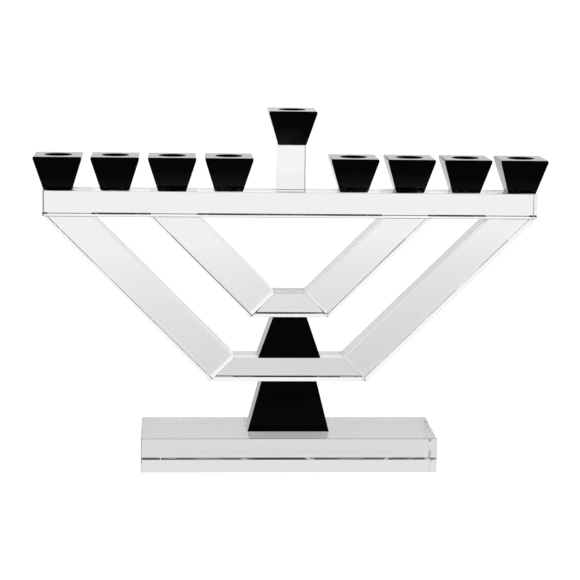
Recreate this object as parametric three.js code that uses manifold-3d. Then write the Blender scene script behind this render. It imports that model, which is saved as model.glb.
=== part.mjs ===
// A nine-light Hanukkah menorah, bonded from bars of clear crystal and blocks of black crystal.
// Units are millimetres. +Z is up, -Y is the front, +X is the right as seen from the front.
// The origin is the centre of the base's underside, so the menorah stands on Z = 0.
import * as THREE from "three";
import { mergeVertices } from "three/addons/utils/BufferGeometryUtils.js";
import Module from "manifold-3d";

// ---- Driving dimensions ----

const BOND_GAP = 0.1; // clear film of adhesive between two blocks
const BEAM_DEPTH = 24; // front to back, the same on bars, arms and stems
const BAR_CHAMFER = 0.6; // on every edge of a crystal bar
const CUP_CHAMFER = 0.4;

const BASE_WIDTH = 205;
const BASE_DEPTH = 62;
const BASE_HEIGHT = 24;
const BASE_CHAMFER = 1;

const LOWER_STEM_HEIGHT = 36;
const LOWER_STEM_FOOT = 57;
const LOWER_STEM_HEAD = 38.5;
const UPPER_STEM_HEIGHT = 28.7;
const UPPER_STEM_FOOT = 43.5;
const UPPER_STEM_HEAD = 23.5;

// The branches are two V shapes, one inside the other. Each has a short level bar
// whose ends are mitred at 45 degrees, and two arms that rise at 45 degrees.
const LEVEL_BAR_HEIGHT = 16.5;
const OUTER_BAR_WIDTH = 109.6; // along its lower edge
const INNER_BAR_WIDTH = 55.2; // along its lower edge
const ARM_WIDTH = LEVEL_BAR_HEIGHT * Math.SQRT2; // the mitre's length
const OUTER_ARM_REACH = 167.8; // where the outer arm's tip is trimmed upright

const CROSSBAR_WIDTH = 340;
const CROSSBAR_HEIGHT = 17.4;
const CROSSBAR_UNDERSIDE = 175;

const POST_WIDTH = 19.5;
const POST_HEIGHT = 32.1;

const CUP_HEIGHT = 23.5;
const CUP_FOOT = 19.5;
const CUP_MOUTH = 32.7;
const CUP_RIM_HEIGHT = 1.8; // upright band at the mouth
const CUP_PITCH = 38.8;
const FIRST_CUP_OFFSET = 42.9; // from the centre to the nearest cup on each side
const CUPS_PER_SIDE = 4;
const CANDLE_BORE_DIAMETER = 18.4;
const CANDLE_BORE_DEPTH = 14;
const BORE_SIDES = 48;

// ---- Heights of the stack, from the base upwards ----

const LOWER_STEM_Z = BASE_HEIGHT + BOND_GAP;
const OUTER_BAR_Z = LOWER_STEM_Z + LOWER_STEM_HEIGHT + BOND_GAP;
const UPPER_STEM_Z = OUTER_BAR_Z + LEVEL_BAR_HEIGHT + BOND_GAP;
const INNER_BAR_Z = UPPER_STEM_Z + UPPER_STEM_HEIGHT + BOND_GAP;
const CROSSBAR_TOP = CROSSBAR_UNDERSIDE + CROSSBAR_HEIGHT;
const CUP_Z = CROSSBAR_TOP + BOND_GAP;
const POST_Z = CROSSBAR_TOP + BOND_GAP;
const SHAMASH_Z = POST_Z + POST_HEIGHT + BOND_GAP;

const wasm = await Module();
wasm.setup();

// ---- Materials ----

function clearCrystal() {
  return new THREE.MeshStandardMaterial({
    color: 0xe9eceb,
    roughness: 0.03,
    metalness: 0,
    transparent: true,
    opacity: 0.35,
  });
}

function blackCrystal() {
  return new THREE.MeshStandardMaterial({ color: 0x050505, roughness: 0.04, metalness: 0 });
}

// ---- Outlines, drawn in the X-Z plane, counter-clockwise ----

const point = (x, z) => new THREE.Vector2(x, z);

function trapezium(footWidth, headWidth, height) {
  const foot = footWidth / 2;
  const head = headWidth / 2;
  return [point(-foot, 0), point(foot, 0), point(head, height), point(-head, height)];
}

// Cuts each corner sharper than an obtuse bend, with the same flat width on every corner.
function cutCorners(corners, chamfer) {
  const sharpest = THREE.MathUtils.degToRad(150);
  const cut = [];
  corners.forEach((corner, i) => {
    const before = corners.at(i - 1).clone().sub(corner).normalize();
    const after = corners[(i + 1) % corners.length].clone().sub(corner).normalize();
    const angle = Math.acos(before.dot(after));
    if (angle > sharpest) {
      cut.push(corner.clone());
      return;
    }
    const reach = (chamfer * Math.SQRT1_2) / Math.sin(angle / 2);
    cut.push(corner.clone().addScaledVector(before, reach));
    cut.push(corner.clone().addScaledVector(after, reach));
  });
  return cut;
}

// A block of the given outline, centred front to back, with every edge chamfered.
function block(corners, depth, chamfer) {
  const geometry = new THREE.ExtrudeGeometry(new THREE.Shape(cutCorners(corners, chamfer)), {
    depth: depth - 2 * chamfer,
    bevelEnabled: true,
    bevelSegments: 1,
    bevelThickness: chamfer,
    bevelSize: chamfer,
    bevelOffset: -chamfer,
  });
  geometry.translate(0, 0, chamfer - depth / 2);
  return geometry.rotateX(Math.PI / 2);
}

// ---- Solids for cuts ----

function toSolid(geometry) {
  const bare = geometry.index ? geometry.toNonIndexed() : geometry.clone();
  bare.deleteAttribute("normal");
  bare.deleteAttribute("uv");
  const merged = mergeVertices(bare, 1e-4);
  return new wasm.Manifold(
    new wasm.Mesh({
      numProp: 3,
      vertProperties: merged.attributes.position.array,
      triVerts: new Uint32Array(merged.index.array),
    }),
  );
}

function toGeometry(solid) {
  const mesh = solid.getMesh();
  const geometry = new THREE.BufferGeometry();
  geometry.setAttribute("position", new THREE.BufferAttribute(mesh.vertProperties, 3));
  geometry.setIndex(new THREE.BufferAttribute(mesh.triVerts, 1));
  geometry.computeVertexNormals();
  return geometry;
}

// ---- Sub-parts ----

function base() {
  const corners = trapezium(BASE_WIDTH, BASE_WIDTH, BASE_HEIGHT);
  return block(corners, BASE_DEPTH, BASE_CHAMFER);
}

function lowerStem() {
  const corners = trapezium(LOWER_STEM_FOOT, LOWER_STEM_HEAD, LOWER_STEM_HEIGHT);
  return block(corners, BEAM_DEPTH, BAR_CHAMFER);
}

function upperStem() {
  const corners = trapezium(UPPER_STEM_FOOT, UPPER_STEM_HEAD, UPPER_STEM_HEIGHT);
  return block(corners, BEAM_DEPTH, BAR_CHAMFER);
}

// The ends are cut back by the adhesive film, so each mitre stays centred on its joint.
function levelBar(lowerWidth) {
  const width = lowerWidth - BOND_GAP * Math.SQRT2;
  const corners = trapezium(width, width - 2 * LEVEL_BAR_HEIGHT, LEVEL_BAR_HEIGHT);
  return block(corners, BEAM_DEPTH, BAR_CHAMFER);
}

// The arm on the right, seen from the front. Its foot is square across the arm and meets
// the level bar's mitre. Its head is level under the crossbar, and its tip is upright
// where the arm would otherwise pass the reach.
function armOutline(barZ, barLowerWidth, reach) {
  const film = BOND_GAP * Math.SQRT1_2;
  const footX = barLowerWidth / 2 + film / 2;
  const footZ = barZ + film / 2;
  const headZ = CROSSBAR_UNDERSIDE - BOND_GAP;
  const acrossX = footX - LEVEL_BAR_HEIGHT;
  const acrossZ = footZ + ARM_WIDTH * Math.SQRT1_2;
  const tipX = footX + headZ - footZ;
  const inside = [point(acrossX + headZ - acrossZ, headZ), point(acrossX, acrossZ)];
  const foot = point(footX, footZ);
  if (tipX <= reach) return [foot, point(tipX, headZ), ...inside];
  return [foot, point(reach, headZ - (tipX - reach)), point(reach, headZ), ...inside];
}

function arm(side, barZ, barLowerWidth, reach) {
  const right = armOutline(barZ, barLowerWidth, reach);
  const corners = side > 0 ? right : right.map((corner) => point(-corner.x, corner.y)).reverse();
  return block(corners, BEAM_DEPTH, BAR_CHAMFER);
}

function crossbar() {
  const corners = trapezium(CROSSBAR_WIDTH, CROSSBAR_WIDTH, CROSSBAR_HEIGHT);
  return block(corners, BEAM_DEPTH, BAR_CHAMFER);
}

function shamashPost() {
  const corners = trapezium(POST_WIDTH, POST_WIDTH, POST_HEIGHT);
  return block(corners, POST_WIDTH, BAR_CHAMFER);
}

// The cup's outline from the side, flaring from its foot to an upright rim.
function cupOutline(halfFoot, halfMouth) {
  const right = [
    point(halfFoot, 0),
    point(halfMouth, CUP_HEIGHT - CUP_RIM_HEIGHT),
    point(halfMouth, CUP_HEIGHT),
  ];
  return [...right, ...right.map((corner) => point(-corner.x, corner.y)).reverse()];
}

// Four flared slabs, a quarter turn apart and an eighth turn apart, meet in a square cup
// with its four upright edges chamfered. Then the candle's bore is cut from the top.
function cup() {
  const square = cupOutline(CUP_FOOT / 2, CUP_MOUTH / 2);
  const toCorner = (half) => half * Math.SQRT2 - CUP_CHAMFER * Math.SQRT1_2;
  const diagonal = cupOutline(toCorner(CUP_FOOT / 2), toCorner(CUP_MOUTH / 2));
  const slab = (outline) => block(outline, 2 * CUP_MOUTH, CUP_CHAMFER);
  const eighth = Math.PI / 4;

  const bore = new THREE.CylinderGeometry(
    CANDLE_BORE_DIAMETER / 2,
    CANDLE_BORE_DIAMETER / 2,
    2 * CANDLE_BORE_DEPTH,
    BORE_SIDES,
  );
  bore.rotateX(Math.PI / 2).translate(0, 0, CUP_HEIGHT);

  const solid = toSolid(slab(square))
    .intersect(toSolid(slab(square).rotateZ(2 * eighth)))
    .intersect(toSolid(slab(diagonal).rotateZ(eighth)))
    .intersect(toSolid(slab(diagonal).rotateZ(3 * eighth)))
    .subtract(toSolid(bore));
  return toGeometry(solid);
}

// ---- Assembly ----

function piece(name, geometry, material, x = 0, z = 0) {
  const mesh = new THREE.Mesh(geometry, material);
  mesh.name = name;
  mesh.position.set(x, 0, z);
  return mesh;
}

function foot() {
  const group = new THREE.Group();
  group.add(piece("base_block", base(), clearCrystal()));
  group.add(piece("lower_stem_block", lowerStem(), blackCrystal(), 0, LOWER_STEM_Z));
  group.add(piece("upper_stem_block", upperStem(), blackCrystal(), 0, UPPER_STEM_Z));
  return group;
}

function branch(label, barZ, barWidth, reach) {
  const group = new THREE.Group();
  group.add(piece(`${label}_bottom_bar`, levelBar(barWidth), clearCrystal(), 0, barZ));
  group.add(piece(`${label}_arm_left`, arm(-1, barZ, barWidth, reach), clearCrystal()));
  group.add(piece(`${label}_arm_right`, arm(1, barZ, barWidth, reach), clearCrystal()));
  return group;
}

function candleCups() {
  const group = new THREE.Group();
  const shape = cup();
  for (let i = 0; i < 2 * CUPS_PER_SIDE; i += 1) {
    const side = i < CUPS_PER_SIDE ? -1 : 1;
    const steps = side < 0 ? CUPS_PER_SIDE - 1 - i : i - CUPS_PER_SIDE;
    const x = side * (FIRST_CUP_OFFSET + steps * CUP_PITCH);
    group.add(piece(`candle_cup_${i + 1}`, shape, blackCrystal(), x, CUP_Z));
  }
  group.add(piece("shamash_cup", shape, blackCrystal(), 0, SHAMASH_Z));
  return group;
}

const menorah = new THREE.Group();
menorah.add(foot());
menorah.add(branch("outer", OUTER_BAR_Z, OUTER_BAR_WIDTH, OUTER_ARM_REACH));
menorah.add(branch("inner", INNER_BAR_Z, INNER_BAR_WIDTH, OUTER_ARM_REACH));
menorah.add(piece("crossbar", crossbar(), clearCrystal(), 0, CROSSBAR_UNDERSIDE));
menorah.add(piece("shamash_post", shamashPost(), clearCrystal(), 0, POST_Z));
menorah.add(candleCups());

export default menorah;
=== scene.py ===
"""A nine-light Hanukkah menorah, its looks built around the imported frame.

Clear crystal bars and black crystal blocks stand on a white floor. The studio round them
is set up for glass: white boards, a dark room above them, and grey cards.
Lengths are metres. +Z is up, and the menorah's front faces -Y.
"""
import math

import bmesh
import bpy
from mathutils import Matrix, Vector


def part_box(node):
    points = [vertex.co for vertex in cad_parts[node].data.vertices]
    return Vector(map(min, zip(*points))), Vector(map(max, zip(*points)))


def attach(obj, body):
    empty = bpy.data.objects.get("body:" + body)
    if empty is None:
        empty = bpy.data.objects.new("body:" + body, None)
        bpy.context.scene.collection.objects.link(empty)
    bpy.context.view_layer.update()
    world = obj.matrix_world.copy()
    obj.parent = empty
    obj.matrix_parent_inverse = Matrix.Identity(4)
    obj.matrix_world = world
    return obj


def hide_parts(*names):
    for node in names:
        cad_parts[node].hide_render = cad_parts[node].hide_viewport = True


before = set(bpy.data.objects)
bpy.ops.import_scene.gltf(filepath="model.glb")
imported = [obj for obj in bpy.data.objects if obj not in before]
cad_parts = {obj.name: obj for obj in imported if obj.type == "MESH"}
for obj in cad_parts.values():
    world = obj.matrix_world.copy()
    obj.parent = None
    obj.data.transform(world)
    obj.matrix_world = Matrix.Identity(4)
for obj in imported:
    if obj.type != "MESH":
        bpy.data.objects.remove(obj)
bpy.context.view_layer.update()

MM = 0.001

# ---- Camera, fitted to the view in the photograph ----

CAMERA_PLACE = Vector((-0.0812, -1.3, 0.3563))
CAMERA_AIM = Vector((0.0005, 0, 0.1226))
CAMERA_ROLL = math.radians(0.874)
CAMERA_LENS_MM = 118.0
SENSOR_MM = 36.0
CLIP_START = 0.05
CLIP_END = 100


def make_camera():
    data = bpy.data.cameras.new("camera")
    data.lens = CAMERA_LENS_MM
    data.sensor_width = SENSOR_MM
    data.clip_start = CLIP_START
    data.clip_end = CLIP_END
    camera = bpy.data.objects.new("camera", data)
    bpy.context.scene.collection.objects.link(camera)
    turn = (CAMERA_AIM - CAMERA_PLACE).to_track_quat("-Z", "Y").to_matrix()
    roll = Matrix.Rotation(CAMERA_ROLL, 3, "Z")
    camera.matrix_world = Matrix.Translation(CAMERA_PLACE) @ (turn @ roll).to_4x4()
    bpy.context.scene.camera = camera


# ---- Node helpers ----


class Nodes:
    """A material's node tree, with short calls to add and join nodes."""

    def __init__(self, tree):
        self.tree = tree
        tree.nodes.clear()

    def add(self, kind, inputs=None, **settings):
        node = self.tree.nodes.new(kind)
        for name, value in settings.items():
            setattr(node, name, value)
        for name, value in (inputs or {}).items():
            if isinstance(value, bpy.types.NodeSocket):
                self.tree.links.new(value, node.inputs[name])
            else:
                node.inputs[name].default_value = value
        return node

    def math(self, operation, first, second=0.0):
        inputs = {0: first, 1: second}
        return self.add("ShaderNodeMath", inputs, operation=operation).outputs[0]

    def distance(self, place, centre):
        inputs = {0: place, 1: centre}
        return self.add("ShaderNodeVectorMath", inputs, operation="DISTANCE").outputs["Value"]

    def noise(self, place, scale, detail=3.0):
        inputs = {"Vector": place, "Scale": scale, "Detail": detail}
        return self.add("ShaderNodeTexNoise", inputs).outputs["Fac"]

    def remap(self, value, low, high, to_low, to_high, smooth=True):
        kind = "SMOOTHSTEP" if smooth else "LINEAR"
        inputs = {0: value, 1: low, 2: high, 3: to_low, 4: to_high}
        return self.add("ShaderNodeMapRange", inputs, interpolation_type=kind).outputs[0]

    def grey(self, shade):
        inputs = {"Red": shade, "Green": shade, "Blue": shade}
        return self.add("ShaderNodeCombineColor", inputs).outputs[0]

    def bump(self, height, distance):
        inputs = {"Height": height, "Distance": distance}
        return self.add("ShaderNodeBump", inputs).outputs[0]


def new_material(name):
    material = bpy.data.materials.new(name)
    material.use_nodes = True
    return material, Nodes(material.node_tree)


# ---- Materials: noise scales are cycles a metre, and shades and roughness are (low, high) ----

CRYSTAL_IOR = 1.5
NOISE_MIDDLE = 0.3, 0.7  # the span of a noise's values that most places have

CLEAR_CLOUD_SCALE = 6.0
CLEAR_SHADES = 0.955, 0.975
CLEAR_HAZE_SCALE = 22.0
CLEAR_HAZE = 0.5, 0.85  # the noise values over which the polish grows hazier
CLEAR_ROUGHNESS = 0.0, 0.012


def clear_crystal():
    material, nodes = new_material("clear_crystal")
    place = nodes.add("ShaderNodeTexCoord").outputs["Object"]
    haze = nodes.noise(place, CLEAR_HAZE_SCALE)
    cloud = nodes.noise(place, CLEAR_CLOUD_SCALE)
    shader = nodes.add(
        "ShaderNodeBsdfPrincipled",
        {
            "Base Color": nodes.grey(nodes.remap(cloud, *NOISE_MIDDLE, *CLEAR_SHADES)),
            "Roughness": nodes.remap(haze, *CLEAR_HAZE, *CLEAR_ROUGHNESS),
            "Transmission Weight": 1.0,
            "IOR": CRYSTAL_IOR,
        },
    )
    nodes.add("ShaderNodeOutputMaterial", {"Surface": shader.outputs[0]})
    return material


DARK_REFLECTION = (0.04, 0.04, 0.04, 1)  # share of the usual gloss on a face seen head-on
GRAZING_COAT = 0.22  # adds gloss at low angles, and hardly any seen head-on
GRAZING_COAT_IOR = 1.2  # chosen for its looks: real crystal has no such coat

BLACK_CLOUD_SCALE = 30.0
BLACK_SHADES = 0.0002, 0.0007
SMUDGE_SCALE = 55.0
SMUDGE_DETAIL = 4.0
SMUDGE = 0.45, 0.8  # the noise values over which the polish grows smudged
BLACK_ROUGHNESS = 0.015, 0.05


def black_crystal():
    material, nodes = new_material("black_crystal")
    place = nodes.add("ShaderNodeTexCoord").outputs["Object"]
    smudge = nodes.noise(place, SMUDGE_SCALE, detail=SMUDGE_DETAIL)
    cloud = nodes.noise(place, BLACK_CLOUD_SCALE)
    shader = nodes.add(
        "ShaderNodeBsdfPrincipled",
        {
            "Base Color": nodes.grey(nodes.remap(cloud, *NOISE_MIDDLE, *BLACK_SHADES)),
            "Roughness": nodes.remap(smudge, *SMUDGE, *BLACK_ROUGHNESS),
            "IOR": CRYSTAL_IOR,
            "Specular Tint": DARK_REFLECTION,
            "Coat Weight": GRAZING_COAT,
            "Coat IOR": GRAZING_COAT_IOR,
        },
    )
    nodes.add("ShaderNodeOutputMaterial", {"Surface": shader.outputs[0]})
    return material


GRIT_SCALE = 2500.0
GRIT_DETAIL = 2.0
GRIT_SHADES = 0.001, 0.003
GRIT_ROUGHNESS = 0.35, 0.5
DRILL_RING_PITCH = 0.45 * MM
DRILL_RING_SHARE = 0.3  # of the relief, where the grit is 1
DRILL_RELIEF = 0.02 * MM


def drilled_black():
    """The candle bore's wall and floor, left satin by the core drill, with its fine rings."""
    material, nodes = new_material("black_crystal_drilled")
    place = nodes.add("ShaderNodeTexCoord").outputs["Object"]
    grit = nodes.noise(place, GRIT_SCALE, detail=GRIT_DETAIL)
    height = nodes.add("ShaderNodeSeparateXYZ", {0: place}).outputs["Z"]
    rings = nodes.math("SINE", nodes.math("MULTIPLY", height, 2 * math.pi / DRILL_RING_PITCH))
    relief = nodes.math("ADD", nodes.math("MULTIPLY", rings, DRILL_RING_SHARE), grit)
    shader = nodes.add(
        "ShaderNodeBsdfPrincipled",
        {
            "Base Color": nodes.grey(nodes.remap(grit, *NOISE_MIDDLE, *GRIT_SHADES)),
            "Roughness": nodes.remap(grit, *NOISE_MIDDLE, *GRIT_ROUGHNESS),
            "IOR": CRYSTAL_IOR,
            "Specular Tint": DARK_REFLECTION,
            "Normal": nodes.bump(relief, DRILL_RELIEF),
        },
    )
    nodes.add("ShaderNodeOutputMaterial", {"Surface": shader.outputs[0]})
    return material


# ---- Blocks: a straight-sided outline seen from the front, with its arrises ground ----

STEM_SIZES_MM = {  # (width at the foot, width at the head, height)
    "lower_stem_block": (57, 38.5, 36),
    "upper_stem_block": (43.5, 23.5, 28.7),
}
FINE_ARRIS = 0.25 * MM
GROUND_ARRISES = {  # wider than fine: most show as dark lines through the front face
    "base_block": {
        ("back", "under"): 2.0 * MM,
        ("back", "right"): 1.2 * MM,
        ("front", "right"): 0.6 * MM,
        ("top", "right"): 1.0 * MM,
    },
    "crossbar": {
        ("back", "under"): 0.65 * MM,
        ("back", "left"): 0.5 * MM,
        ("back", "right"): 0.5 * MM,
    },
    "outer_bottom_bar": {("back", "under"): 0.65 * MM},
    "inner_bottom_bar": {
        ("back", "under"): 0.7 * MM,
        ("front", "mitre_left"): 0.5 * MM,
        ("front", "mitre_right"): 0.5 * MM,
    },
    "outer_arm_left": {("back", "under"): 0.35 * MM},
    "outer_arm_right": {("back", "under"): 0.42 * MM},
    "inner_arm_left": {("back", "under"): 0.35 * MM},
    "inner_arm_right": {("back", "under"): 0.5 * MM},
}
BONDED_ARRIS = 0.27 * MM  # what adhesive leaves of the crossbar's arris over an arm
ARRIS_RUNOUT = 1.0 * MM  # how far the crossbar's arris takes to change its width
BONDED_SIDES = ("mitre_left", "mitre_right", "head", "foot")
EDGE_POLISH = 0.05 * MM
POLISH_ANGLE = math.radians(20)

# A block's sides by name, each with its direction outwards in degrees, anticlockwise from +X.
SQUARE_SIDES = {"under": -90, "right": 0, "top": 90, "left": 180}
LEVEL_BAR_SIDES = {"under": -90, "mitre_right": 45, "top": 90, "mitre_left": 135}
INNER_ARM_SIDES = {"under": -45, "head": 90, "top": 135, "foot": 225}
OUTER_ARM_SIDES = {"under": -45, "tip": 0, "head": 90, "top": 135, "foot": 225}


def mirrored(sides):
    turned = {name: 180 - angle for name, angle in sides.items()}
    return dict(reversed(turned.items()))


def stem_sides(node):
    foot, head, height = STEM_SIZES_MM[node]
    lean = math.degrees(math.atan2((foot - head) / 2, height))
    return {"under": -90, "right": lean, "top": 90, "left": 180 - lean}


BLOCK_SIDES = {
    "base_block": SQUARE_SIDES,
    "lower_stem_block": stem_sides("lower_stem_block"),
    "upper_stem_block": stem_sides("upper_stem_block"),
    "outer_bottom_bar": LEVEL_BAR_SIDES,
    "inner_bottom_bar": LEVEL_BAR_SIDES,
    "outer_arm_right": OUTER_ARM_SIDES,
    "outer_arm_left": mirrored(OUTER_ARM_SIDES),
    "inner_arm_right": INNER_ARM_SIDES,
    "inner_arm_left": mirrored(INNER_ARM_SIDES),
    "crossbar": SQUARE_SIDES,
    "shamash_post": SQUARE_SIDES,
}
BLACK_BLOCKS = ("lower_stem_block", "upper_stem_block")
ARMS = tuple(node for node in BLOCK_SIDES if "arm" in node)


def outline(node):
    """(side's name, corner where the side starts) for each side, anticlockwise in X and Z.

    A side's line touches the CAD node in the side's own direction, and a corner is where
    the lines of two neighbouring sides cross.
    """
    points = [Vector((v.co.x, v.co.z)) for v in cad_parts[node].data.vertices]
    lines = []
    for angle in BLOCK_SIDES[node].values():
        way = Vector((math.cos(math.radians(angle)), math.sin(math.radians(angle))))
        lines.append((way, max(way.dot(point) for point in points)))
    corners = []
    for i, name in enumerate(BLOCK_SIDES[node]):
        crossing = Matrix((lines[i - 1][0], lines[i][0]))
        corners.append((name, crossing.inverted() @ Vector((lines[i - 1][1], lines[i][1]))))
    return corners


def head_span(arm):
    """The lowest and highest X of an arm's head, under the crossbar."""
    sides = outline(arm)
    at = [name for name, _ in sides].index("head")
    return sorted((sides[at][1].x, sides[(at + 1) % len(sides)][1].x))


def split_underside(sides):
    """The crossbar's sides, with its underside split where arms are bonded to it.

    Points beside each split keep the change in the arris's width short.
    """
    start, end = sides[0][1], sides[1][1]
    split = [sides[0]]
    for low, high in sorted(head_span(arm) for arm in ARMS):
        for name, x in (
            ("under", low - ARRIS_RUNOUT),
            ("bonded_under", low),
            ("bonded_under", low + ARRIS_RUNOUT),
            ("bonded_under", high - ARRIS_RUNOUT),
            ("under", high),
            ("under", high + ARRIS_RUNOUT),
        ):
            if start.x + ARRIS_RUNOUT < x < end.x - ARRIS_RUNOUT:
                split.append((name, Vector((x, start.y))))
    return split + sides[1:]


def arris_width(node, first, second):
    """How wide the arris between two sides is ground. Most mating edges are left sharp.

    Two stretches of one underside have no arris between them.
    """
    ground = GROUND_ARRISES.get(node, {})
    if (first, second) in ground:
        return ground[first, second]
    if (first, second) == ("back", "bonded_under"):
        return BONDED_ARRIS
    if first in BONDED_SIDES or second in BONDED_SIDES:
        return 0.0
    if "under" in first and "under" in second:
        return 0.0
    return FINE_ARRIS


def ground_block(node, material):
    sides = outline(node)
    if node == "crossbar":
        sides = split_underside(sides)
    low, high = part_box(node)
    solid = bmesh.new()
    rings = {}
    for face, y in (("front", low[1]), ("back", high[1])):
        rings[face] = [solid.verts.new((corner.x, y, corner.y)) for _, corner in sides]
        solid.faces.new(rings[face] if face == "front" else rings[face][::-1])
    weight = solid.edges.layers.float.new("bevel_weight_edge")
    widest = max(GROUND_ARRISES.get(node, {"": FINE_ARRIS}).values())
    front, back = rings["front"], rings["back"]
    for i, (name, _) in enumerate(sides):
        after = (i + 1) % len(sides)
        solid.faces.new((front[i], back[i], back[after], front[after]))
        for start, end, pair in (
            (front[i], front[after], ("front", name)),
            (back[i], back[after], ("back", name)),
            (front[i], back[i], (name, sides[i - 1][0])),
        ):
            solid.edges.get((start, end))[weight] = arris_width(node, *pair) / widest
    bmesh.ops.recalc_face_normals(solid, faces=solid.faces)
    data = bpy.data.meshes.new(node + "_polished")
    solid.to_mesh(data)
    solid.free()
    piece = finish_piece(data, node, [material])
    grind = piece.modifiers.new("ground arrises", "BEVEL")
    grind.limit_method = "WEIGHT"
    grind.width = widest
    grind.segments = 1
    grind.use_clamp_overlap = False
    grind.loop_slide = False
    polish_edges(piece)


def polish_edges(piece):
    """Round every edge very slightly, so that it catches a little light."""
    polish = piece.modifiers.new("polished edges", "BEVEL")
    polish.limit_method = "ANGLE"
    polish.angle_limit = POLISH_ANGLE
    polish.width = EDGE_POLISH
    polish.segments = 2
    polish.use_clamp_overlap = False


def finish_piece(mesh_data, node, materials):
    piece = bpy.data.objects.new(mesh_data.name, mesh_data)
    bpy.context.scene.collection.objects.link(piece)
    for material in materials:
        mesh_data.materials.append(material)
    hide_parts(node)
    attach(piece, "root")
    return piece


# ---- Cups: a flared square block with a drilled candle bore ----

CUP_FOOT_MM = 19.5
CUP_MOUTH_MM = 32.7
CUP_RIM_HEIGHT = 1.8 * MM
CUP_ARRIS = 0.4 * MM
BORE_RADIUS = 9.2 * MM
BORE_DEPTH = 14 * MM
BORE_MOUTH_ARRIS = 0.25 * MM
BORE_FLOOR_FILLET = 1.2 * MM
BORE_SEGMENTS = 96
FILLET_STEPS = 5
SMOOTH_ANGLE = math.radians(30)


def square_ring(solid, centre, half, arris, z):
    """A square with its corners cut, as a loop of eight vertices."""
    near, far = half - arris, half
    loop = ((far, -near), (far, near), (near, far), (-near, far))
    loop += tuple((-x, -y) for x, y in loop)
    return [solid.verts.new((centre.x + x, centre.y + y, z)) for x, y in loop]


def round_ring(solid, centre, radius, z):
    ring = []
    for i in range(BORE_SEGMENTS):
        angle = 2 * math.pi * i / BORE_SEGMENTS
        x, y = radius * math.cos(angle), radius * math.sin(angle)
        ring.append(solid.verts.new((centre.x + x, centre.y + y, z)))
    return ring


def join_rings(solid, rings, slot=0):
    for lower, upper in zip(rings, rings[1:]):
        for i in range(len(lower)):
            after = (i + 1) % len(lower)
            face = solid.faces.new((lower[i], lower[after], upper[after], upper[i]))
            face.material_index = slot


def ring_edges(solid, ring):
    return [solid.edges.get((ring[i - 1], ring[i])) for i in range(len(ring))]


def bore_profile(top):
    """(radius, height) down the bore, from the mouth's arris to the filleted floor."""
    floor = top - BORE_DEPTH
    profile = [(BORE_RADIUS + BORE_MOUTH_ARRIS, top), (BORE_RADIUS, top - BORE_MOUTH_ARRIS)]
    for step in range(FILLET_STEPS + 1):
        angle = math.pi / 2 * step / FILLET_STEPS
        inward = BORE_FLOOR_FILLET * (1 - math.cos(angle))
        down = BORE_FLOOR_FILLET * (1 - math.sin(angle))
        profile.append((BORE_RADIUS - inward, floor + down))
    return profile


def candle_cup(node, materials):
    low, high = (Vector(corner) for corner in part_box(node))
    centre = (low + high) / 2
    mouth = (high.x - low.x) / 2
    foot = mouth * (CUP_FOOT_MM / CUP_MOUTH_MM)
    solid = bmesh.new()
    sections = (
        (foot - CUP_ARRIS, low.z),
        (foot, low.z + CUP_ARRIS),
        (mouth, high.z - CUP_RIM_HEIGHT),
        (mouth, high.z - CUP_ARRIS),
        (mouth - CUP_ARRIS, high.z),
    )
    outside = [square_ring(solid, centre, half, CUP_ARRIS, z) for half, z in sections]
    join_rings(solid, outside)
    solid.faces.new(outside[0][::-1])
    inside = [round_ring(solid, centre, radius, z) for radius, z in bore_profile(high.z)]
    join_rings(solid, inside, slot=1)
    solid.faces.new(inside[-1]).material_index = 1
    rim = ring_edges(solid, outside[-1]) + ring_edges(solid, inside[0])
    bmesh.ops.triangle_fill(solid, edges=rim, use_beauty=True)
    bmesh.ops.recalc_face_normals(solid, faces=solid.faces)
    for face in solid.faces:
        face.smooth = True
    data = bpy.data.meshes.new(node + "_polished")
    solid.to_mesh(data)
    solid.free()
    data.set_sharp_from_angle(angle=SMOOTH_ANGLE)
    finish_piece(data, node, materials)


def make_pieces():
    clear = clear_crystal()
    black = black_crystal()
    drilled = drilled_black()
    for node in BLOCK_SIDES:
        if node in BLACK_BLOCKS:
            ground_block(node, black)
        else:
            ground_block(node, clear)
    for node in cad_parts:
        if "cup" in node:
            candle_cup(node, [black, drilled])


# ---- Stage and light ----

WHITE = (1, 1, 1, 1)
SKY_LIGHT = 1.0  # the even light on the floor
SEEN_WHITE = 1.1  # what the camera sees of the floor and the backdrop, as in a cut-out picture
STAGE_SEGMENTS = 8

FLOOR_HALF = 20.0
FLOOR_GAP = 0.1 * MM  # the base rests on its arrises, not on a perfect plane
FLOOR_PAINTED_GLOW = 0.5  # share of the floor's brightness that it gives off itself as painted light, so that the object's shadow on it stays faint
FADE_CENTRE = (0.5, 0, 0)  # painted shade: the floor's colour is darkest here and lighter with distance, as uneven light would leave it
FADE_START = 0.45
FADE_END = 1.15
FLOOR_NEAR_SHADE = 0.68
FLOOR_FAR_SHADE = 0.94
POOL_START = 0.10  # a painted pool of light round the foot makes up for the light that the object keeps off
POOL_END = 0.35
PAINTED_POOL_SHADE = 0.80


def stage_plane(name, size, place, material):
    data = bpy.data.meshes.new(name)
    grid = bmesh.new()
    segments = STAGE_SEGMENTS
    bmesh.ops.create_grid(grid, x_segments=segments, y_segments=segments, size=0.5)
    grid.to_mesh(data)
    grid.free()
    data.materials.append(material)
    plane = bpy.data.objects.new(name, data)
    plane.location = place
    plane.scale = (size[0], size[1], 1)
    bpy.context.scene.collection.objects.link(plane)
    return plane


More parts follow.
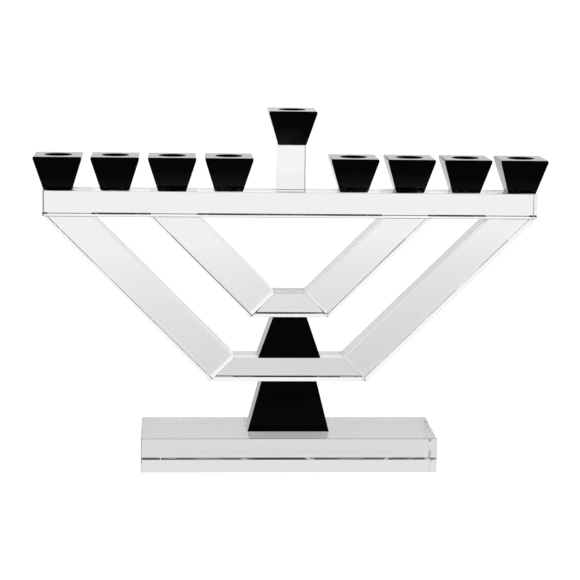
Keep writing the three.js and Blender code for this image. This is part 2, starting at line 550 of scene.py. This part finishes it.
def make_floor():
    """A pale floor as glass and gloss see it, with painted shade that lightens with distance, a
    painted pool of light round the foot and a painted glow, which the camera sees as plain white.
    """
    material, nodes = new_material("floor")
    place = nodes.add("ShaderNodeNewGeometry").outputs["Position"]
    away = nodes.distance(place, FADE_CENTRE)
    # painted shade: the floor's colour fades lighter away from FADE_CENTRE
    painted_fade = nodes.remap(away, FADE_START, FADE_END, FLOOR_NEAR_SHADE, FLOOR_FAR_SHADE, smooth=False)
    near = nodes.distance(place, (0, 0, 0))
    # painted light: a lighter pool in the floor's colour round the foot
    painted_pool = nodes.remap(near, POOL_START, POOL_END, PAINTED_POOL_SHADE, 0.0)
    shade = nodes.math("MAXIMUM", painted_fade, painted_pool)
    lit = nodes.grey(nodes.math("MULTIPLY", shade, 1 - FLOOR_PAINTED_GLOW))
    diffuse = nodes.add("ShaderNodeBsdfDiffuse", {"Color": lit})
    # painted light: the floor glows with part of its shade, which the object's shadow doesn't reach
    painted_glow = nodes.math("MULTIPLY", shade, FLOOR_PAINTED_GLOW * SKY_LIGHT)
    emission = nodes.add("ShaderNodeEmission", {"Strength": painted_glow})
    both = nodes.add("ShaderNodeAddShader", {0: diffuse.outputs[0], 1: emission.outputs[0]})
    white = nodes.add("ShaderNodeEmission", {"Strength": SEEN_WHITE})
    seen = nodes.add("ShaderNodeLightPath").outputs["Is Camera Ray"]
    surface = nodes.add("ShaderNodeMixShader", {0: seen, 1: both.outputs[0], 2: white.outputs[0]})
    nodes.add("ShaderNodeOutputMaterial", {"Surface": surface.outputs[0]})
    stage_plane("floor", (2 * FLOOR_HALF, 2 * FLOOR_HALF), (0, 0, -FLOOR_GAP), material)


FLAT = (0, 0, 0)
UPRIGHT = (0, math.radians(90), 0)
GREY_CARDS = (  # (name, shade, size, place, turn): two lie in front, and two stand at the sides
    ("near_card", 0.45, (0.9, 0.33), (0.1, -0.365, 0.5 * MM), FLAT),
    ("far_card", 0.42, (0.9, 1.2), (0.1, -1.13, 0.5 * MM), FLAT),
    ("left_card", 0.3, (0.35, 1.0), (-1.0, 0, 0.18), UPRIGHT),
    ("right_card", 0.3, (0.35, 1.0), (1.0, 0, 0.18), UPRIGHT),
)


def make_grey_cards():
    """Cards that only glass and gloss see. They shade the crystal from the front and the sides."""
    for name, shade, size, place, turn in GREY_CARDS:
        material, nodes = new_material(name)
        shader = nodes.add("ShaderNodeBsdfDiffuse", {"Color": nodes.grey(shade)})
        nodes.add("ShaderNodeOutputMaterial", {"Surface": shader.outputs[0]})
        card = stage_plane(name, size, place, material)
        card.rotation_euler = turn
        card.visible_camera = False
        card.visible_diffuse = False
        card.visible_shadow = False


# The studio's parts, by height: every span is in degrees above the horizon.
BOARD_LIGHT = 0.97  # white boards all round, up to a low height
BOARD_EDGE_LIGHT = 0.78
BOARD_EDGE = 13.0, 13.8  # where the boards dim towards their upper edge
BOARD_TOP = 15.8, 17.6  # where the boards give way to the dark room
ROOM_DARK = 0.05
PANEL_START = 45, 55  # where a soft high panel brightens
PANEL_END = 64, 70  # and fades again, to leave the room dark overhead
PANEL_LIGHT = 0.7
HALF_A_BOUNCE = 0.5


def make_world():
    """White boards under a dark room, as glass and gloss see them.

    The floor is lit by an even white sky instead, and the camera sees plain white.
    """
    world = bpy.data.worlds.new("studio")
    world.use_nodes = True
    world.cycles.sampling_method = "NONE"  # so that Light Path tells each kind of ray apart
    bpy.context.scene.world = world
    nodes = Nodes(world.node_tree)
    way = nodes.add("ShaderNodeTexCoord").outputs["Generated"]
    axes = nodes.add("ShaderNodeSeparateXYZ", {0: way}).outputs
    height = nodes.math("DEGREES", nodes.math("ARCSINE", axes["Z"]))
    boards = nodes.remap(height, *BOARD_EDGE, BOARD_LIGHT, BOARD_EDGE_LIGHT)
    panel = nodes.remap(height, *PANEL_START, ROOM_DARK, PANEL_LIGHT)
    room = nodes.remap(height, *PANEL_END, panel, ROOM_DARK)
    studio = nodes.remap(height, *BOARD_TOP, boards, room)
    path = nodes.add("ShaderNodeLightPath").outputs
    lights_floor = nodes.math("GREATER_THAN", path["Diffuse Depth"], HALF_A_BOUNCE)
    lit = nodes.add("ShaderNodeMix", {"Factor": lights_floor, "A": studio, "B": SKY_LIGHT})
    strength = nodes.add(
        "ShaderNodeMix", {"Factor": path["Is Camera Ray"], "A": lit.outputs[0], "B": SEEN_WHITE}
    )
    light = nodes.add("ShaderNodeBackground", {"Color": WHITE, "Strength": strength.outputs[0]})
    nodes.add("ShaderNodeOutputWorld", {"Surface": light.outputs[0]})


GLASS_BOUNCES = 24
GLOSS_BOUNCES = 16
DIFFUSE_BOUNCES = 4


def set_look():
    scene = bpy.context.scene
    scene.view_settings.view_transform = "Standard"
    scene.cycles.max_bounces = GLASS_BOUNCES
    scene.cycles.transmission_bounces = GLASS_BOUNCES
    scene.cycles.glossy_bounces = GLOSS_BOUNCES
    scene.cycles.diffuse_bounces = DIFFUSE_BOUNCES
    scene.cycles.caustics_refractive = True
    scene.cycles.caustics_reflective = True


make_camera()
make_floor()
make_grey_cards()
make_world()
make_pieces()
set_look()
